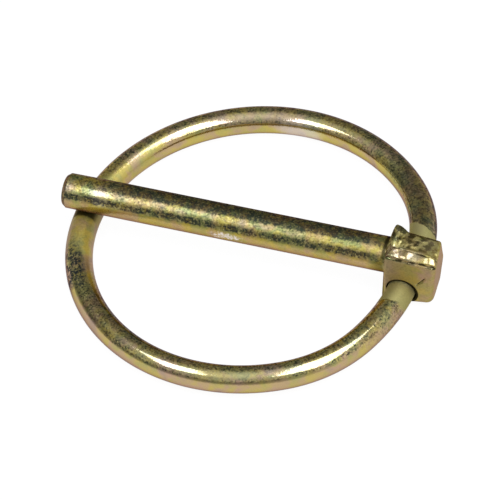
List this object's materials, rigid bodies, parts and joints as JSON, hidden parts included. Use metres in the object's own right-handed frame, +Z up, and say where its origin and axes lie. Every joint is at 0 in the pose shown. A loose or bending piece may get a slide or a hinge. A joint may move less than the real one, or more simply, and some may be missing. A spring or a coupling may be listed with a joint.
{
  "type": "lynch pin",
  "caption": "Lynch pin: a straight round shank with a chamfered tip, a small forged head, and a sprung wire ring that hinges in the head's cross hole and closes under the tip.",
  "frame": {"origin": "on the shank's axis, where the shank leaves the head", "axes": "-X along the shank from the head to the tip, +Z up as it lies with the closed ring under the shank, +Y across the ring"},
  "size_m": [0.0652, 0.0622, 0.0124],
  "materials": {
    "pin_zinc": "satin",
    "ring_zinc": "satin"
  },
  "bodies": {
    "pin": {"pin": "pin_zinc"},
    "ring": {"ring": "ring_zinc"}
  },
  "joints": [
    {"name": "ring_swing", "type": "hinge", "parent": "pin", "child": "ring", "pos_m": [0.0031, 0, -0.0046], "axis": [-0.061, -0.9981, 0], "range_deg": [0, 345]}
  ]
}
